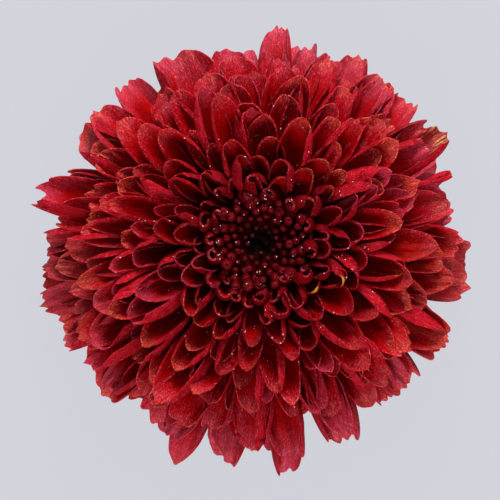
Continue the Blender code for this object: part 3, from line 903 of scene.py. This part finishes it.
# Stray petals
# A few of the lowest petals reach past their neighbours: one at the left is split at its tip, and one
# at the right is a narrow tube beside a withered one. They grew as the other petals did.
STRAY_TRAITS = (
    "Own bearing", "Own reach", "Own height", "Own width", "Cleft", "Rolled", "Withered", "First floret",
)
STRAY_PETALS = (
    (281.0, 30.8, 3.0, 4.8, 0.0, 0.0, 0.0, 200.0),
    (249.8, 30.2, 2.5, 4.8, 0.0, 0.0, 0.0, 198.0),
    (299.0, 29.7, 3.5, 5.2, 0.02, 0.0, 0.0, 209.0),
    (322.0, 28.8, 5.0, 5.2, 0.03, 0.0, 0.0, 199.0),
    (83.0, 31.4, 6.0, 4.6, 0.0, 0.0, 0.0, 211.0),
    (164.6, 31.4, 6.5, 5.9, 0.08, 0.0, 0.0, 195.0),
    (190.6, 29.6, 3.0, 6.0, 0.03, 0.0, 0.0, 196.0),
    (21.3, 28.8, 11.5, 1.3, 0.0, 1.6, 0.35, 190.0),
    (28.0, 30.2, 8.0, 4.8, -0.02, 0.3, 1.0, 207.0),
    (130.0, 29.6, 6.0, 5.2, 0.03, 0.0, 0.0, 206.0),
    (42.0, 30.4, 6.0, 5.0, 0.02, 0.0, 0.0, 192.0),
    (335.0, 29.2, 6.0, 5.0, 0.02, 0.0, 0.0, 194.0),
)
strays = []
for petal in STRAY_PETALS:
    values = dict(zip(STRAY_TRAITS, petal))
    values |= {"Florets": 1, "Columns": BROAD_COLUMNS, "Rows": BROAD_ROWS, "Placed by hand": 1.0}
    values["Crinkle"] = CRINKLE + values["Withered"]
    stray = bpy.data.objects.new("stray_rays", rays.plain_mesh("stray_rays", **values))
    bpy.context.scene.collection.objects.link(stray)
    strays.append(stray)
with bpy.context.temp_override(active_object=strays[0], selected_editable_objects=strays):
    bpy.ops.object.join()
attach(strays[0], "root")
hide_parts("ray_florets")

# Disc florets
# The button of young florets in the middle: round maroon knobs on short stalks, still closed but for a
# small slit, taller and larger outwards. Right in the middle they leave a pit, painted green-black as
# shade.
KNOB_COUNT = 100
KNOB_RADII = (0.27, 0.72)
KNOB_TOPS = (15.2, 19.2)
KNOB_COLUMNS = 19
KNOB_WELD = 0.01
KNOB_STEPS = {
    "bearing": BEARING_STEP, "out": 0.5698, "size": 0.6711, "height": 0.8192, "slit": 0.3247,
}
SLIT_HALF_LENGTH, SLIT_HALF_WIDTH = 0.5, 0.17
BED_SIDES = 48
BED_PROFILE = [(0.0, 13.6), (3.0, 13.7), (6.0, 13.6), (6.4, 13.2), (6.4, 12.9), (0.0, 12.9)]
KNOB_MAROON, KNOB_CRIMSON = (0.032, 0.004, 0.009), (0.1, 0.0008, 0.003)
# Painted highlight on the crown and painted shade in the slit
KNOB_CROWN_HIGHLIGHT = (0.34, 0.03, 0.05)
KNOB_STALK = (0.05, 0.0004, 0.0008)
KNOB_SLIT_SHADE = (0.03, 0.0005, 0.001)


def knob_material():
    """Dark maroon near the middle and crimson outwards, with painted highlights on the crown and painted
    shade, near black, in the slit.
    """
    material, shader = new_material("disc_knob", 0.42, 0.05)
    along, age, pit = (attribute(material, name) for name in ("along", "age", "pit"))
    mottle = noise(material, object_point(material), 2500.0)
    colour = colour_mix(material, KNOB_MAROON, KNOB_CRIMSON, age.rise(0.0, 0.6))
    crown = mottle.rise(0.5, 0.62) * along.rise(0.7, 0.95) * 0.7
    colour = colour_mix(material, colour, KNOB_CROWN_HIGHLIGHT, crown)
    colour = colour_mix(material, colour, KNOB_STALK, along.rise(0.62, 0.35))
    colour = colour_mix(material, colour, KNOB_SLIT_SHADE, pit * 0.7)
    paint(material, shader, colour)
    bump(material, shader, mottle, 0.3, 0.0002)
    return material


def knob_tree(material):
    """Each knob is a grid closed to a lumpy ball on a stalk, with a bent slit and a lip on its top."""
    inputs = {"Knobs": KNOB_COUNT, "Inner radius": 1.0, "Outer radius": 6.9, "Stalk": 3.4}
    tree = Tree("disc_knobs", inputs)
    sheet = tree.blades(tree.given("Knobs"), KNOB_COLUMNS, KNOB_COLUMNS)
    number, across, along = (tree.named(name) for name in ("number", "across", "along"))

    def own(trait):
        return spread(number, KNOB_STEPS[trait])

    inner, outer = tree.given("Inner radius"), tree.given("Outer radius")
    age = ((number + 0.5) / tree.given("Knobs")) ** 0.64
    out = age * (outer - inner) + inner
    out = out + own("out") * 0.5
    bearing = number * GOLDEN_ANGLE + own("bearing") * 0.16
    head = age.between(*KNOB_RADII) * (1 + own("size") * 0.6)
    top = age.between(*KNOB_TOPS) + own("height") * 1.8
    globe = ((along - 0.25) / 0.75).most(0.0)
    polar = (1 - globe) ** 1.2 * 2.5
    stalk = along.rise(0.28, 0.0)
    around = across * math.pi
    lumps = tree.noise(around.cos(), around.sin(), globe * 1.5 + number * 3.7, 1.6)
    girth = (polar.sin() * head).most(0.0) * (1 - stalk) * (1 + lumps * 1.1) + stalk * head * 0.4
    from_slit = around + own("slit") * 6.28
    slit_long = from_slit.cos() * girth / head
    slit_wide = from_slit.sin() * girth / head + slit_long**2.0 * 0.5
    outside = (slit_long / SLIT_HALF_LENGTH) ** 2.0 + (slit_wide / SLIT_HALF_WIDTH) ** 2.0
    pit = (1 - outside * 0.6).most(0.0) * along.over(0.5)
    lip = (1 - (outside - 2.2).size() / 2.2).most(0.0) * along.over(0.5)
    height = top + (polar.cos() - 1) * head * 1.05 - stalk * tree.given("Stalk")
    height = height - pit * head * 0.3 + lip * head * 0.07
    side = around.sin() * girth
    fore = around.cos() * girth + (height - top) * age * 0.3
    x = bearing.cos() * (out + fore) - bearing.sin() * side + axis.x
    y = bearing.sin() * (out + fore) + bearing.cos() * side + axis.y
    sheet = tree.moved(sheet, x, y, height)
    sheet = tree.store(sheet, "age", age)
    sheet = tree.store(sheet, "pit", pit)
    tree.end(tree.welded(sheet, KNOB_WELD), material)
    return tree


knobs = plain_piece("disc_knobs", knob_tree(knob_material()).plain_mesh("disc_knobs"))
bed = plain_piece("disc_bed", turned_mesh("disc_bed", BED_PROFILE, BED_SIDES, receptacle_skin))
for piece in (knobs, bed):
    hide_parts("disc_florets")

# Pollen
# White grains, fine as dust, that glisten on the tops and rims of the florets in and round the
# middle. They stick to the florets' moist skin.
POLLEN_RADII = (21.0, 8.0)
POLLEN_HEIGHTS = (12.5, 16.5)
GRAIN_DUSTY, GRAIN_WHITE = (0.62, 0.55, 0.52), (0.9, 0.88, 0.86)


def grain_material():
    material, shader = new_material("pollen_white", 0.35, 0.6)
    mottle = noise(material, object_point(material), 9000.0)
    colour = colour_mix(material, GRAIN_DUSTY, GRAIN_WHITE, mottle)
    paint(material, shader, colour)
    return material


def grain_tree(florets, material):
    """Grains scattered over the faces that look up on these florets, more of them near the middle."""
    tree = Tree("pollen_grains", {"Grains per square mm": 0.5, "Grain radius": 0.085, "Seed": 5})
    landed = tree.add("GeometryNodeJoinGeometry")
    for floret in florets:
        shape = tree.add("GeometryNodeObjectInfo", {"Object": floret}).outputs["Geometry"]
        tree.nodes.links.new(shape, landed.inputs[0])
    x, y, z = tree.parts("GeometryNodeInputPosition")
    near = from_axis(x, y).rise(*(out * MM for out in POLLEN_RADII))
    near = near * z.rise(*(height * MM for height in POLLEN_HEIGHTS))
    upward = tree.parts("GeometryNodeInputNormal")[2].rise(0.4, 0.8)
    density = near * upward * tree.given("Grains per square mm") / MM**2
    points = tree.add(
        "GeometryNodeDistributePointsOnFaces",
        {"Mesh": landed.outputs[0], "Density": density, "Seed": tree.given("Seed")},
    )
    ball = tree.add("GeometryNodeMeshIcoSphere", {"Radius": tree.given("Grain radius") * MM})
    grains = tree.add(
        "GeometryNodeInstanceOnPoints", {"Points": points.outputs[0], "Instance": ball.outputs["Mesh"]}
    )
    tree.end(grains.outputs[0], material)
    return tree


florets = [bpy.data.objects[name] for name in ("inner_rays", "middle_rays", "disc_knobs")]
grains = plain_piece("pollen_grains", grain_tree(florets, grain_material()).plain_mesh("pollen_grains"))

# Floor
# A plain pale sheet, a hair under the stem's cut end and 3 metres wide. Most of its light is its
# own, as on a light table, so that the flower's shadow stays faint.
FLOOR_SIZE = 3.0
FLOOR_GAP = 0.02
FLOOR_COLOUR = (0.668, 0.675, 0.736)
FLOOR_REFLECTING = 0.04
FLOOR_GLOW = 0.907


def floor_material():
    material, shader = new_material("floor_pale", 0.9, 0.0)
    reflecting = [part * FLOOR_REFLECTING for part in FLOOR_COLOUR]
    shader.inputs["Base Color"].default_value = (*reflecting, 1.0)
    shader.inputs["Emission Color"].default_value = (*FLOOR_COLOUR, 1.0)
    shader.inputs["Emission Strength"].default_value = FLOOR_GLOW
    return material


floor_mesh = bpy.data.meshes.new("floor")
signs = ((-1, -1), (1, -1), (1, 1), (-1, 1))
corners = [(x * FLOOR_SIZE / 2, y * FLOOR_SIZE / 2, -FLOOR_GAP * MM) for x, y in signs]
floor_mesh.from_pydata(corners, [], [(0, 1, 2, 3)])
floor_mesh.materials.append(floor_material())
floor = bpy.data.objects.new("floor", floor_mesh)
bpy.context.scene.collection.objects.link(floor)

# Camera
# It looks straight down on the open head, from far enough that the petals hardly spread.
PICTURE_PIXELS = 500
PIXELS_PER_MM = 7.35
OUTLINE_CENTRE = (252, 250)
CAMERA_HEIGHT = 450.0
RIM_LEVEL = 8.0
SENSOR_WIDTH = 36.0

camera_data = bpy.data.cameras.new("camera")
view_width = PICTURE_PIXELS / PIXELS_PER_MM
camera_data.sensor_width = SENSOR_WIDTH
camera_data.lens = SENSOR_WIDTH * (CAMERA_HEIGHT - RIM_LEVEL) / view_width
camera_data.clip_start = 0.01
camera = bpy.data.objects.new("camera", camera_data)
camera.location = (
    (PICTURE_PIXELS / 2 - OUTLINE_CENTRE[0]) / PIXELS_PER_MM * MM,
    (OUTLINE_CENTRE[1] - PICTURE_PIXELS / 2) / PIXELS_PER_MM * MM,
    CAMERA_HEIGHT * MM,
)
bpy.context.scene.collection.objects.link(camera)
bpy.context.scene.camera = camera

# Lights
# Soft studio boxes in a ring round the flower, well off the vertical, so that the open petals shine
# and the deep centre stays dark, with a little light from everywhere.
LIGHT_DISTANCE = 0.6
LIGHT_ELEVATION = math.radians(38)
BOX_SIZE = 0.22
BOX_COLOUR = (1.0, 0.98, 0.96)
BOX_BEARINGS_AND_WATTS = ((86, 4.0), (30, 0.7), (320, 0.25), (265, 2.3), (150, 0.45))
ROOM_COLOUR = (0.9, 0.93, 1.0, 1.0)
ROOM_STRENGTH = 0.34

for index, (azimuth, energy) in enumerate(BOX_BEARINGS_AND_WATTS):
    bearing = math.radians(azimuth)
    box = bpy.data.lights.new(f"soft_box_{index}", "AREA")
    box.shape = "SQUARE"
    box.size = BOX_SIZE
    box.energy = energy
    box.color = BOX_COLOUR
    lamp = bpy.data.objects.new(f"soft_box_{index}", box)
    level = LIGHT_DISTANCE * math.cos(LIGHT_ELEVATION)
    lamp.location = (
        level * math.cos(bearing),
        level * math.sin(bearing),
        LIGHT_DISTANCE * math.sin(LIGHT_ELEVATION),
    )
    lamp.rotation_euler = (math.pi / 2 - LIGHT_ELEVATION, 0, bearing + math.pi / 2)
    bpy.context.scene.collection.objects.link(lamp)

world = bpy.data.worlds.new("studio")
world.use_nodes = True
room = world.node_tree.nodes["Background"]
room.inputs["Color"].default_value = ROOM_COLOUR
room.inputs["Strength"].default_value = ROOM_STRENGTH
bpy.context.scene.world = world
bpy.context.scene.view_settings.view_transform = "Standard"
